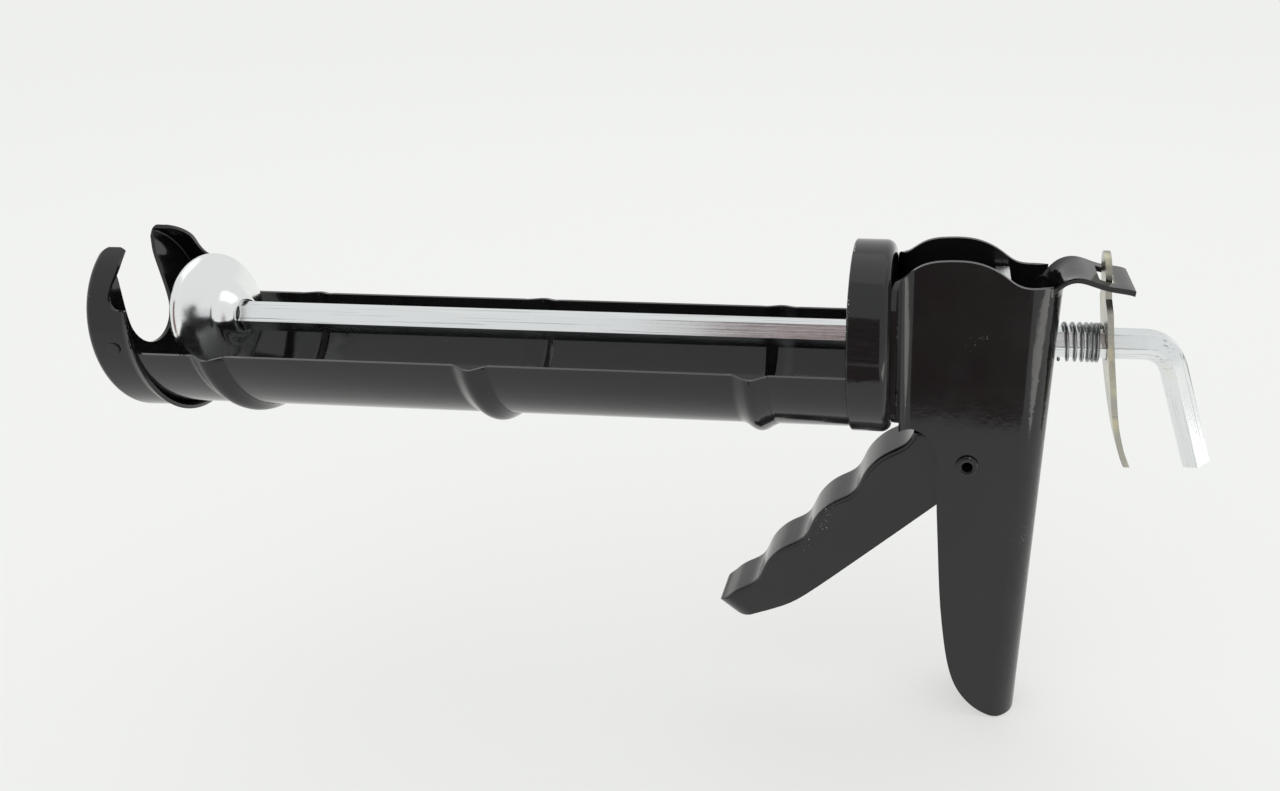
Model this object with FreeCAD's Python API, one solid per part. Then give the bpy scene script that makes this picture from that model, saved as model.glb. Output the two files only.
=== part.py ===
import FreeCAD, Part
import math
import os

# Half-round cradle caulking gun.  Millimetres.
# The rod runs along X and its axis is the X axis.  X = 0 is the rear face of the rear cup,
# the nozzle end is at -X and the hooked end of the rod at +X.  +Z is up, the handle hangs down.

V = FreeCAD.Vector
X_DIR = V(1, 0, 0)
Y_DIR = V(0, 1, 0)
ORIGIN = V(0, 0, 0)

SHEET = 1.2              # pressed sheet of the trough, the cups and the trigger
FIT_GAP = 0.05           # radial play between parts that are welded or riveted together

# Cradle trough
TROUGH_R = 27.5          # outside radius; a 300 ml cartridge lies inside
TROUGH_FRONT_X = -247.0  # before it is trimmed square to the front cup
TROUGH_REAR_X = -3.2
TROUGH_RIM_Z = -2.1
RIB_CENTRES_X = (-200.5, -120.5, -39.0)
RIB_HALF_WIDTH = 5.8
RIB_HEIGHT = 2.4
RIB_RIM_DIP = 0.5        # how far a pressed rib pulls the rim down
EAR_REAR_X = -226.0      # the trough's front ears are riveted to the front cup
EAR_TOP_Z = 3.6
TROUGH_SETBACK = 2.2     # the trough ends this far behind the nose plate, clear of the cup's corner

# Front cup: a shallow pan pressed on the end of the trough, set slightly askew.  Its own
# dimensions are measured from the front face of its nose plate, along its own axis.
CUP_PLATE_X = -239.8     # where the rod axis meets the nose plate's front face
CUP_PLATE_Z = -0.6
CUP_SKEW_DEG = 8.0       # turned about Z
CUP_TIP_DEG = 2.4        # top leans back
CUP_SHEET = 1.1
CUP_R = 28.7
CUP_CORNER_R = 2.0
CUP_DEPTH = 13.2
CUP_LIP_R = 30.2
CUP_LIP_LENGTH = 3.0
SLOT_R = 10.9            # nozzle slot: round bottom, slight neck, flared mouth
SLOT_CENTRE_Z = 2.2
SLOT_NECK_HALF = 10.2
SLOT_NECK_Z = 17.0
SLOT_MOUTH_HALF = 11.8
HORN_TOP_Z = 26.4
HORN_DEPTH = 8.0         # depth of the narrow horns
BAND_TOP_Z = 11.2        # the wall is full depth below this height
CUP_RIVET_X = 7.0
CUP_RIVET_Z = 0.5
CUP_RIVET_R = 1.3
CUP_RIVET_HEAD_R = 1.7
CUP_RIVET_HEAD = 0.4

# Rear cup
REAR_CUP_R = 28.75
REAR_CUP_FRONT_X = -11.9
REAR_CUP_CORNER_R = 3.0
REAR_PLATE = 1.5
REAR_HOLE_R = 5.2

# Handle frame
HANDLE_SHEET = 1.5
HANDLE_HALF_WIDTH = 12.0
SPINE_CORNER_R = 9.0
SPINE_X = 47.6           # outside of the spine at the height of the rod
SPINE_LEAN = 0.0275      # the spine leans back by this much per unit of height
SPINE_HOLE_R = 5.5
FLANGE_HALF_WIDTH = 20.5
FLANGE_BEND_R = 5.0
FLANGE_CLIP_R = 26.0
FLANGE_RIVET_Y = 18.2
FLANGE_RIVET_Z = (9.0, -12.0)
TONGUE_HALF_WIDTH = 10.0
TONGUE_ROOT_Z = 17.0
TONGUE_TIP_X = 67.2
TONGUE_SLOT_X = (57.6, 62.4)
TONGUE_SLOT_HALF_WIDTH = 6.2

# Pivot of the trigger
PIVOT_X = 23.2
PIVOT_Z = -36.9
PIVOT_R = 2.5
PIVOT_BORE_R = 1.7
PIVOT_HEAD_R = 3.5
PIVOT_HEAD = 1.0
PIVOT_RUNNING_GAP = 0.06
SPACER_R = 4.0

# Trigger
TRIGGER_HALF_WIDTH = 9.0
GRIP_X = 4.1             # a point on the middle line of the finger waves
GRIP_Z = -33.9
GRIP_SLOPE_DEG = 227.9   # direction of that line in the X-Z plane
GRIP_OFFSET = 2.45       # the waves lie this far outside the line
WAVE_PITCH = 24.8
WAVE_HEIGHT = 1.25
WAVE_SHARPNESS = 0.12    # flattens the crests and sharpens the valleys
WAVE_FIRST_CREST = 10.8
WAVE_START = -6.0
WAVE_END = 85.2
NOSE_END = 91.0          # the trigger's nose along the same line
NOSE_CORNER_R = 8.4      # the nose is nearly a half circle in plan
WEB_CORNER_R = 1.5       # between the wavy web and the cheeks
PUSH_PIN_X = 36.0
PUSH_PIN_Z = -15.0
PUSH_PIN_R = 2.5

# Hexagon push rod
ROD_FLATS = 8.0
ROD_FRONT_X = -213.0
ROD_BEND_X = 73.5        # start of the bend
ROD_BEND_R = 9.5         # on the rod's centre line
ROD_HOOK_LEAN_DEG = 19.0
ROD_HOOK_END_Z = -38.4

# Piston
PISTON_R = 19.3
PISTON_SHEET = 1.2
PISTON_RIM_X = -216.4
PISTON_NECK_R = 4.75
PISTON_NECK_X = -206.2
PISTON_SCREW_R = 2.0

# Grip plates and their spring
GRIP_PLATE = 2.0
GRIP_PLATE_GAP = 0.1
GRIP_PLATE_REAR_X = 33.2
GRIP_PLATE_HALF_WIDTH = 9.0
GRIP_PLATE_NARROW_HALF = 7.2
GRIP_PLATE_SHOULDER_Z = -6.0
GRIP_PLATE_TOP_Z = 20.4
GRIP_PLATE_BOTTOM_Z = -20.0
GRIP_HOLE_R = 5.0
DRIVE_WIRE_R = 0.75
DRIVE_COIL_R = 7.2
DRIVE_TURNS = 5.5

# Release lever and its spring
LEVER_SHEET = 1.8
LEVER_HOLE_R = 5.15
RELEASE_WIRE_R = 0.65
RELEASE_COIL_R = 5.65
RELEASE_START_X = 49.0
RELEASE_END_X = 60.9


def save(node, shape):
    shape.exportStep("parts/" + node + ".step")


def spline(points):
    """Smooth curve through the points."""
    curve = Part.BSplineCurve()
    curve.interpolate([V(*p) for p in points])
    return curve.toShape()


def line(a, b):
    return Part.makeLine(V(*a), V(*b))


def solid_of(face_edges, direction):
    """Prism from a closed flat outline."""
    face = Part.Face(Part.Wire(face_edges))
    return face.extrude(direction)


def turned(edges, angle=360.0, start=0.0):
    """Solid of revolution about the rod axis from a profile drawn with x along X and radius along Z."""
    face = Part.Face(Part.Wire(edges))
    if start:
        face.rotate(ORIGIN, X_DIR, start)
    return face.revolve(ORIGIN, X_DIR, angle)


def side_prism(edges, half_width):
    """Prism across Y from a closed outline drawn in the X-Z plane."""
    solid = solid_of(edges, V(0, 2 * half_width, 0))
    solid.translate(V(0, -half_width, 0))
    return solid


def path_xz(*pieces):
    """Outline edges in the X-Z plane.  A piece of two points is a line, of more a smooth curve."""
    edges = []
    for piece in pieces:
        points = [(x, 0, z) for x, z in piece]
        edges.append(line(*points) if len(points) == 2 else spline(points))
    return edges


def rod_bar(radius, x0, x1, y=0.0, z=0.0):
    return Part.makeCylinder(radius, x1 - x0, V(x0, y, z), X_DIR)


def cross_bar(radius, half_length, x, z):
    return Part.makeCylinder(radius, 2 * half_length, V(x, -half_length, z), Y_DIR)


def rounded(shape, radius, chosen):
    edges = [e for e in shape.Edges if chosen(e)]
    return shape.makeFillet(radius, edges)


# ---- cradle ---------------------------------------------------------------------------------

def trough_line(radius, x_from, x_to):
    """Side of the trough at one radius: straight stretches joined by smooth pressed ribs."""
    edges = []
    x = x_from
    for centre in RIB_CENTRES_X:
        start = centre - RIB_HALF_WIDTH
        end = centre + RIB_HALF_WIDTH
        edges.append(line((x, 0, radius), (start, 0, radius)))
        points = []
        steps = 12
        for i in range(steps + 1):
            swell = RIB_HEIGHT * (1 - math.cos(2 * math.pi * i / steps)) / 2
            points.append(V(start + (end - start) * i / steps, 0, radius + swell))
        curve = Part.BSplineCurve()
        curve.interpolate(points, InitialTangent=X_DIR, FinalTangent=X_DIR)
        edges.append(curve.toShape())
        x = end
    edges.append(line((x, 0, radius), (x_to, 0, radius)))
    return edges


def trough_rim_cutter():
    """Everything above the trough's rim, which dips at each rib and rises to the front ears."""
    reach = TROUGH_R + 12
    top = reach
    pieces = []
    x = TROUGH_REAR_X + 1
    for centre in reversed(RIB_CENTRES_X):
        dip = [(centre + RIB_HALF_WIDTH + 1 - i * (RIB_HALF_WIDTH + 1) / 4,
                TROUGH_RIM_Z - RIB_RIM_DIP * (1 - math.cos(math.pi * i / 4)) / 2) for i in range(9)]
        pieces.append([(x, TROUGH_RIM_Z), dip[0]])
        pieces.append(dip)
        x = dip[-1][0]
    pieces.append([(x, TROUGH_RIM_Z), (EAR_REAR_X, TROUGH_RIM_Z)])
    pieces.append([(EAR_REAR_X, TROUGH_RIM_Z), (EAR_REAR_X - 1.5, EAR_TOP_Z)])
    pieces.append([(EAR_REAR_X - 1.5, EAR_TOP_Z), (TROUGH_FRONT_X - 1, EAR_TOP_Z)])
    pieces.append([(TROUGH_FRONT_X - 1, EAR_TOP_Z), (TROUGH_FRONT_X - 1, top)])
    pieces.append([(TROUGH_FRONT_X - 1, top), (TROUGH_REAR_X + 1, top)])
    pieces.append([(TROUGH_REAR_X + 1, top), (TROUGH_REAR_X + 1, TROUGH_RIM_Z)])
    return side_prism(path_xz(*pieces), reach)


def barrel_trough():
    inner_r = TROUGH_R - SHEET
    outer = trough_line(TROUGH_R, TROUGH_FRONT_X, TROUGH_REAR_X)
    inner = trough_line(inner_r, TROUGH_FRONT_X, TROUGH_REAR_X)
    front = line((TROUGH_FRONT_X, 0, inner_r), (TROUGH_FRONT_X, 0, TROUGH_R))
    rear = line((TROUGH_REAR_X, 0, inner_r), (TROUGH_REAR_X, 0, TROUGH_R))
    tube = turned(outer + [rear] + inner[::-1] + [front], 200.0, 80.0)
    trough = tube.cut(trough_rim_cutter())
    nose_side = Part.makeBox(40, 100, 100, V(CUP_SHEET + TROUGH_SETBACK - 40, -50, -50))
    trough = trough.cut(on_cup(nose_side))
    trough = trough.cut(on_cup(cup_shell(FIT_GAP)))
    trough = trough.cut(on_cup(cup_rivet_bar(CUP_RIVET_R + 0.05)))
    return max(trough.Solids, key=lambda piece: piece.Volume)


def on_cup(shape):
    """Puts a shape drawn about the front cup's own axis in its place on the gun."""
    placed = shape.copy()
    placed.rotate(ORIGIN, Y_DIR, CUP_TIP_DEG)
    placed.rotate(ORIGIN, V(0, 0, 1), CUP_SKEW_DEG)
    placed.translate(V(CUP_PLATE_X, 0, CUP_PLATE_Z))
    return placed


def cup_shell(gap=0.0):
    """Pan with a flared lip.  A gap thickens its wall on both sides, to clear the trough."""
    out = CUP_R + gap
    inn = CUP_R - CUP_SHEET - gap
    t = CUP_SHEET + gap
    c = CUP_CORNER_R
    ci = c - CUP_SHEET
    k = 1 - math.sqrt(0.5)
    lip_x = CUP_DEPTH - CUP_LIP_LENGTH
    flare = CUP_LIP_R - CUP_R
    edges = [
        line((0, 0, 0), (0, 0, out - c)),
        Part.Arc(V(0, 0, out - c), V(c * k, 0, out - c * k), V(c, 0, out)).toShape(),
        line((c, 0, out), (lip_x, 0, out)),
        spline([(lip_x, 0, out), (lip_x + 1.6, 0, out + 0.35 * flare), (CUP_DEPTH, 0, out + flare)]),
        line((CUP_DEPTH, 0, out + flare), (CUP_DEPTH + 0.4, 0, inn + flare)),
        spline([(CUP_DEPTH + 0.4, 0, inn + flare), (lip_x + 1.8, 0, inn + 0.35 * flare),
                (lip_x, 0, inn)]),
        line((lip_x, 0, inn), (t + ci, 0, inn)),
        Part.Arc(V(t + ci, 0, inn), V(t + ci * k, 0, inn - ci * k), V(t, 0, inn - ci)).toShape(),
        line((t, 0, inn - ci), (t, 0, 0)),
        line((t, 0, 0), (0, 0, 0)),
    ]
    return turned(edges)


def nozzle_slot_cutter():
    """Slot with a round bottom, a slight neck and a flared mouth between the rounded horns."""
    x = -4
    r = SLOT_R
    zc = SLOT_CENTRE_Z
    mouth = SLOT_MOUTH_HALF
    neck = SLOT_NECK_HALF
    side = [(r, zc), (r - 0.1, zc + 5), (neck, SLOT_NECK_Z - 2), (neck, SLOT_NECK_Z + 1),
            (mouth - 0.5, SLOT_NECK_Z + 6), (mouth, HORN_TOP_Z)]
    arc = Part.Arc(V(x, -r, zc), V(x, 0, zc - r), V(x, r, zc)).toShape()
    right = spline([(x, y, z) for y, z in side])
    left = spline([(x, -y, z) for y, z in reversed(side)])
    above = HORN_TOP_Z + 24
    wide = CUP_LIP_R + 10
    roof = [(mouth, HORN_TOP_Z), (wide, HORN_TOP_Z), (wide, above),
            (-wide, above), (-wide, HORN_TOP_Z), (-mouth, HORN_TOP_Z)]
    edges = [arc, right]
    for a, b in zip(roof, roof[1:]):
        edges.append(line((x, a[0], a[1]), (x, b[0], b[1])))
    edges.append(left)
    return solid_of(edges, V(30, 0, 0))


def horn_cutter():
    """Trims the wall above the full-depth band so that a narrow strip carries each horn."""
    d = HORN_DEPTH
    z = BAND_TOP_Z
    rear = CUP_DEPTH + 6
    edges = path_xz(
        [(rear, 45), (d - 3.0, 45)],
        [(d - 3.0, 45), (d - 3.0, HORN_TOP_Z)],
        [(d - 3.0, HORN_TOP_Z), (d - 1.2, HORN_TOP_Z - 1.0), (d - 0.5, 23.4), (d - 0.3, 20.8),
         (d - 0.9, 18.0), (d - 1.3, 15.6), (d - 0.8, 12.9), (d + 0.5, z + 0.3), (d + 2.4, z)],
        [(d + 2.4, z), (CUP_DEPTH - 1.6, z)],
        [(CUP_DEPTH - 1.6, z), (CUP_DEPTH - 0.4, 3.0), (CUP_DEPTH + 1.0, -6.0)],
        [(CUP_DEPTH + 1.0, -6.0), (rear, -6.0)],
        [(rear, -6.0), (rear, 45)],
    )
    return side_prism(edges, 45)


def horn_tip_cutter():
    """Rounds the front corner of each horn's tip."""
    top = HORN_TOP_Z
    tip = [(-1.0, top - 5.4), (0.1, top - 3.6), (0.9, top - 1.6), (2.2, top - 0.4), (4.0, top + 0.1)]
    edges = path_xz(tip, [tip[-1], (4.0, 45)], [(4.0, 45), (-4, 45)], [(-4, 45), (-4, top - 5.4)],
                    [(-4, top - 5.4), tip[0]])
    return side_prism(edges, 45)


def cup_rivet_bar(radius):
    return cross_bar(radius, CUP_R + 5, CUP_RIVET_X, CUP_RIVET_Z)


def front_cup():
    cup = cup_shell()
    cup = cup.cut(nozzle_slot_cutter())
    cup = cup.cut(horn_cutter())
    cup = cup.cut(horn_tip_cutter())
    return on_cup(cup.cut(cup_rivet_bar(CUP_RIVET_R + 0.05)))


def cup_rivets():
    """One low round-headed rivet on each side, through the cup wall and the trough's ear."""
    parts = []
    inner_y = TROUGH_R - SHEET - 1.2
    outer_y = CUP_R + 0.02
    for side in (-1, 1):
        shank = Part.makeCylinder(CUP_RIVET_R, outer_y - inner_y, V(CUP_RIVET_X, side * inner_y, CUP_RIVET_Z),
                                  V(0, side, 0))
        seat = V(CUP_RIVET_X, side * outer_y, CUP_RIVET_Z)
        head = Part.makeCylinder(CUP_RIVET_HEAD_R, CUP_RIVET_HEAD, seat, V(0, side, 0))
        top = outer_y + CUP_RIVET_HEAD
        head = rounded(head, CUP_RIVET_HEAD - 0.1, lambda e: abs(abs(e.CenterOfMass.y) - top) < 0.01)
        parts.append(on_cup(shank.fuse(head).removeSplitter()))
    return Part.makeCompound(parts)


# ---- rear cup and handle ----------------------------------------------------------------------

def rear_cup():
    r = REAR_CUP_R
    inner = TROUGH_R + FIT_GAP
    c = REAR_CUP_CORNER_R
    k = c * (1 - math.sqrt(0.5))
    ci = c - REAR_PLATE
    plate_x = -REAR_PLATE
    ki = ci * (1 - math.sqrt(0.5))
    edges = [
        line((0, 0, REAR_HOLE_R), (0, 0, r - c)),
        Part.Arc(V(0, 0, r - c), V(-k, 0, r - k), V(-c, 0, r)).toShape(),
        line((-c, 0, r), (REAR_CUP_FRONT_X + 0.4, 0, r)),
        line((REAR_CUP_FRONT_X + 0.4, 0, r), (REAR_CUP_FRONT_X, 0, r - 0.4)),
        line((REAR_CUP_FRONT_X, 0, r - 0.4), (REAR_CUP_FRONT_X, 0, inner)),
        line((REAR_CUP_FRONT_X, 0, inner), (plate_x - ci, 0, inner)),
        Part.Arc(V(plate_x - ci, 0, inner), V(plate_x - ki, 0, inner - ki),
                 V(plate_x, 0, inner - ci)).toShape(),
        line((plate_x, 0, inner - ci), (plate_x, 0, REAR_HOLE_R)),
        line((plate_x, 0, REAR_HOLE_R), (0, 0, REAR_HOLE_R)),
    ]
    cup = turned(edges)
    for y, z in flange_rivet_spots():
        cup = cup.cut(rod_bar(2.05, -REAR_PLATE - 1, 1, y, z))
    return cup


def flange_rivet_spots():
    return [(side * FLANGE_RIVET_Y, z) for side in (-1, 1) for z in FLANGE_RIVET_Z]


def flange_rivets():
    """Low-headed rivets that hold the handle's flanges on the rear cup."""
    parts = []
    front = -REAR_PLATE - 0.02
    rear = HANDLE_SHEET + 0.02 + 0.02
    for y, z in flange_rivet_spots():
        shank = rod_bar(2.0, front, rear, y, z)
        inner_head = rod_bar(2.9, front - 0.9, front, y, z)
        inner_head = rounded(inner_head, 0.5, lambda e: abs(e.CenterOfMass.x - front + 0.9) < 0.01)
        outer_head = rod_bar(2.2, rear, rear + 0.5, y, z)
        parts.append(shank.fuse([inner_head, outer_head]).removeSplitter())
    return Part.makeCompound(parts)


def channel_section(inset):
    """Plan of the handle channel: straight walls and a rounded spine, drawn at the rod's height."""
    h = HANDLE_HALF_WIDTH - inset
    r = SPINE_CORNER_R - inset
    xs = SPINE_X - inset
    k = r * math.sqrt(0.5)
    front = -20.0
    return [
        line((front, -h, 0), (xs - r, -h, 0)),
        Part.Arc(V(xs - r, -h, 0), V(xs - r + k, -h + r - k, 0), V(xs, -h + r, 0)).toShape(),
        line((xs, -h + r, 0), (xs, h - r, 0)),
        Part.Arc(V(xs, h - r, 0), V(xs - r + k, h - r + k, 0), V(xs - r, h, 0)).toShape(),
        line((xs - r, h, 0), (front, h, 0)),
        line((front, h, 0), (front, -h, 0)),
    ]


def channel_prism(inset):
    low = -150.0
    high = 40.0
    solid = solid_of(channel_section(inset), V(SPINE_LEAN * (high - low), 0, high - low))
    solid.translate(V(SPINE_LEAN * low, 0, low))
    return solid


def flange_plan(side):
    """Plan of one wall's front end: it bends outward and lies flat against the rear cup."""
    h = HANDLE_HALF_WIDTH
    t = HANDLE_SHEET
    r = FLANGE_BEND_R
    k = r * math.sqrt(0.5)
    big = r + t
    kb = big * math.sqrt(0.5)
    rear = 13.0
    x_face = t + 0.02
    cx = x_face + r
    cy = h + r
    pts = FLANGE_HALF_WIDTH

    def p(x, y):
        return V(x, side * y, 0)

    return [
        Part.makeLine(p(rear, h), p(cx, h)),
        Part.Arc(p(cx, h), p(cx - k, cy - k), p(x_face, cy)).toShape(),
        Part.makeLine(p(x_face, cy), p(x_face, pts)),
        Part.makeLine(p(x_face, pts), p(x_face - t, pts)),
        Part.makeLine(p(x_face - t, pts), p(x_face - t, cy)),
        Part.Arc(p(x_face - t, cy), p(cx - kb, cy - kb), p(cx, h - t)).toShape(),
        Part.makeLine(p(cx, h - t), p(rear, h - t)),
        Part.makeLine(p(rear, h - t), p(rear, h)),
    ]


def handle_side_outline():
    """Side view of the handle's walls.  The top is cut in a soft double curve."""
    return path_xz(
        [(-1, 22.4), (2.9, 22.6), (5.3, 24.4), (8.9, 26.5), (15.7, 27.6), (22.6, 27.3), (27.0, 26.0),
         (31.2, 23.6), (35.4, 20.8), (40.0, 20.1), (60.0, 20.1)],
        [(60.0, 20.1), (60.0, -137.4)],
        [(60.0, -137.4), (38.0, -137.4)],
        [(38.0, -137.4), (31.6, -135.0), (26.6, -130.4), (22.9, -124.4), (20.2, -116.0), (18.2, -104.0),
         (16.5, -88.0), (15.1, -65.0), (14.3, -50.0), (14.0, -36.0), (13.2, -30.5), (8.6, -26.0),
         (6.0, -25.0)],
        [(6.0, -25.0), (-1, -25.0)],
        [(-1, -25.0), (-1, 22.4)],
    )


def spine_profile(y):
    """How far the outside of the spine falls back from its middle at a distance y from the middle."""
    flat = HANDLE_HALF_WIDTH - SPINE_CORNER_R
    if abs(y) <= flat:
        return 0.0
    return SPINE_CORNER_R - math.sqrt(SPINE_CORNER_R ** 2 - (abs(y) - flat) ** 2)


def tongue_section(x, z, angle_deg, half_width, bow):
    """Closed cross-section of the tongue, square to its run; bow 1 keeps the spine's roundness."""
    a = math.radians(angle_deg)
    normal = V(-math.sin(a), 0, math.cos(a))
    centre = V(x, 0, z)
    steps = 4

    def row(offset):
        points = []
        for i in range(-steps, steps + 1):
            y = half_width * i / steps
            points.append(centre + normal * (offset + bow * spine_profile(y)) + V(0, y, 0))
        curve = Part.BSplineCurve()
        curve.interpolate(points)
        return curve.toShape()

    lower = row(0.0)
    upper = row(HANDLE_SHEET)
    ends = [Part.makeLine(lower.Vertexes[i].Point, upper.Vertexes[i].Point) for i in (0, -1)]
    return Part.Wire(Part.__sortEdges__([lower, ends[0], upper, ends[1]]))


def latch_tongue():
    """Tongue that rises from the top of the spine, turns back and carries the release lever's slot."""
    spine_x = SPINE_X + SPINE_LEAN * TONGUE_ROOT_Z
    w = TONGUE_HALF_WIDTH
    sections = [
        tongue_section(spine_x, TONGUE_ROOT_Z, 90.0, w, 1.0),
        tongue_section(spine_x + 0.5, TONGUE_ROOT_Z + 2.2, 72.0, w, 0.55),
        tongue_section(spine_x + 1.9, TONGUE_ROOT_Z + 3.9, 38.0, w, 0.2),
        tongue_section(spine_x + 4.2, TONGUE_ROOT_Z + 4.5, 2.0, w, 0.05),
        tongue_section(spine_x + 8.0, TONGUE_ROOT_Z + 3.6, -14.0, w, 0.0),
        tongue_section(spine_x + 13.0, TONGUE_ROOT_Z + 2.3, -11.0, w, 0.0),
        tongue_section(TONGUE_TIP_X, TONGUE_ROOT_Z + 1.2, -6.0, w, 0.0),
    ]
    tongue = Part.makeLoft(sections, True, False)
    slot = Part.makeBox(TONGUE_SLOT_X[1] - TONGUE_SLOT_X[0], 2 * TONGUE_SLOT_HALF_WIDTH, 12,
                        V(TONGUE_SLOT_X[0], -TONGUE_SLOT_HALF_WIDTH, TONGUE_ROOT_Z - 3))
    slot = rounded(slot, 0.8, lambda e: abs(e.Vertexes[0].Z - e.Vertexes[-1].Z) > 5)
    return tongue.cut(slot)


def handle_frame():
    walls = channel_prism(0.0).cut(channel_prism(HANDLE_SHEET))
    rear_box = Part.makeBox(60, 60, 220, V(12.0, -30, -160))
    walls = walls.common(rear_box)
    flanges = []
    for side in (-1, 1):
        flange = solid_of(flange_plan(side), V(0, 0, 80))
        flange.translate(V(0, 0, -40))
        clip = rod_bar(FLANGE_CLIP_R, -2, 2.4).fuse(Part.makeBox(20, 60, 90, V(2.3, -30, -45)))
        flanges.append(flange.common(clip))
    body = walls.fuse(flanges)
    body = body.common(side_prism(handle_side_outline(), 40))
    top_gap = Part.makeBox(30, 2 * TONGUE_HALF_WIDTH, 20, V(40.0, -TONGUE_HALF_WIDTH, TONGUE_ROOT_Z))
    body = body.cut(top_gap)
    body = body.fuse(latch_tongue())
    body = body.cut(rod_bar(SPINE_HOLE_R, 40, 52))
    body = body.cut(cross_bar(PIVOT_R + 0.02, 20, PIVOT_X, PIVOT_Z))
    for y, z in flange_rivet_spots():
        body = body.cut(rod_bar(2.05, -1, 4, y, z))
    return body.removeSplitter()


# ---- trigger ----------------------------------------------------------------------------------

def beside_grip(s, out):
    """Point at a distance s along the grip's line and out in front of it."""
    a = math.radians(GRIP_SLOPE_DEG)
    return (GRIP_X + s * math.cos(a) + out * math.sin(a), GRIP_Z + s * math.sin(a) - out * math.cos(a))


def grip_curve(offset, s_from, s_to):
    """Finger waves as points; offset moves the whole curve outward."""
    count = 37
    points = []
    for i in range(count):
        s = s_from + (s_to - s_from) * i / (count - 1)
        turn = 2 * math.pi * (s - WAVE_FIRST_CREST) / WAVE_PITCH
        wave = WAVE_HEIGHT * (math.cos(turn) - WAVE_SHARPNESS * math.cos(2 * turn))
        points.append(beside_grip(s, GRIP_OFFSET + wave + offset))
    return points


def trigger_outline():
    end = NOSE_END
    grip = grip_curve(0.0, WAVE_START, WAVE_END) + [beside_grip(end - 3.0, 4.2)]
    nose = [grip[-1], beside_grip(end - 0.8, 3.0), beside_grip(end, 0.6), beside_grip(end - 0.7, -2.2),
            beside_grip(end - 3.2, -5.0), beside_grip(end - 7.8, -7.3)]
    below = [nose[-1], (-40.8, -98.4), (-33.8, -95.1), (-25.2, -88.6), (-13.3, -78.1), (2.9, -63.6),
             (14.3, -53.3)]
    heel = [below[-1], (21.5, -46.9), (28.5, -43.0), (32.0, -36.5)]
    arm_rear = [heel[-1], (39.9, -17.3)]
    arm_end = [arm_rear[-1], (39.6, -12.2), (35.4, -10.4), (32.0, -12.8)]
    arm_front = [arm_end[-1], (24.5, -26.5)]
    shoulder = [arm_front[-1], (20.0, -29.2), (14.0, -28.8), grip[0]]
    return path_xz(grip, nose, below, heel, arm_rear, arm_end, arm_front, shoulder)


def trigger_hollow():
    """Space between the trigger's cheeks, behind the wavy web and the closed nose."""
    end = NOSE_END - SHEET
    grip = grip_curve(-SHEET, WAVE_START - 4, WAVE_END) + [beside_grip(end - 2.8, 2.9)]
    low = beside_grip(end - 1.2, -2.0)
    far = beside_grip(end + 2.0, -30.0)
    above = (grip[0][0], 20.0)
    return path_xz(
        grip,
        [grip[-1], beside_grip(end - 0.9, 1.2), low],
        [low, far],
        [far, (60.0, -130.0)],
        [(60.0, -130.0), (60.0, 20.0)],
        [(60.0, 20.0), above],
        [above, grip[0]],
    )


def nose_plan_block(inset):
    """Block over the whole trigger whose far end has the nose's rounded corners."""
    w = TRIGGER_HALF_WIDTH - inset
    end = NOSE_END - inset
    block = Part.makeBox(200, 2 * w, 200, V(end - 200, -w, -100))

    def at_nose_corner(edge):
        middle = edge.CenterOfMass
        return abs(middle.x - end) < 0.01 and abs(abs(middle.y) - w) < 0.01

    block = rounded(block, NOSE_CORNER_R - inset, at_nose_corner)
    block.rotate(ORIGIN, Y_DIR, -GRIP_SLOPE_DEG)
    block.translate(V(GRIP_X, 0, GRIP_Z))
    return block


def trigger():
    w = TRIGGER_HALF_WIDTH
    body = side_prism(trigger_outline(), w)
    body = rounded(body, WEB_CORNER_R, lambda e: e.Length > 80 and abs(abs(e.CenterOfMass.y) - w) < 0.01)
    body = body.common(nose_plan_block(0.0))
    body = body.cut(side_prism(trigger_hollow(), w - SHEET).common(nose_plan_block(SHEET)))
    body = body.cut(cross_bar(PIVOT_R + PIVOT_RUNNING_GAP, w + 1, PIVOT_X, PIVOT_Z))
    return body.cut(cross_bar(PUSH_PIN_R + 0.02, w + 1, PUSH_PIN_X, PUSH_PIN_Z))


def trigger_push_pin():
    """Pin across the trigger's two arms; it shoves the grip plates forward."""
    half = TRIGGER_HALF_WIDTH + 0.02
    pin = cross_bar(PUSH_PIN_R, half, PUSH_PIN_X, PUSH_PIN_Z)
    for side in (-1, 1):
        seat = V(PUSH_PIN_X, side * half, PUSH_PIN_Z)
        head = Part.makeCylinder(PUSH_PIN_R + 0.7, 0.6, seat, V(0, side, 0))
        pin = pin.fuse(head)
    return pin.removeSplitter()


def pivot_rivet():
    """Hollow rivet with a rolled head on each side of the handle."""
    half = HANDLE_HALF_WIDTH + 0.02
    pin = cross_bar(PIVOT_R, half, PIVOT_X, PIVOT_Z)
    for side in (-1, 1):
        head = Part.makeCylinder(PIVOT_HEAD_R, PIVOT_HEAD, V(PIVOT_X, side * half, PIVOT_Z), V(0, side, 0))
        top = half + PIVOT_HEAD
        head = rounded(head, 0.6, lambda e: abs(abs(e.CenterOfMass.y) - top) < 0.01)
        pin = pin.fuse(head)
    return pin.removeSplitter().cut(cross_bar(PIVOT_BORE_R, half + 3, PIVOT_X, PIVOT_Z))


def pivot_spacer():
    """Short tube on the rivet that keeps the trigger's cheeks apart."""
    half = TRIGGER_HALF_WIDTH - SHEET - 0.15
    tube = cross_bar(SPACER_R, half, PIVOT_X, PIVOT_Z)
    return tube.cut(cross_bar(PIVOT_R + PIVOT_RUNNING_GAP, half + 1, PIVOT_X, PIVOT_Z))


# ---- rod and piston ---------------------------------------------------------------------------

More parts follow.
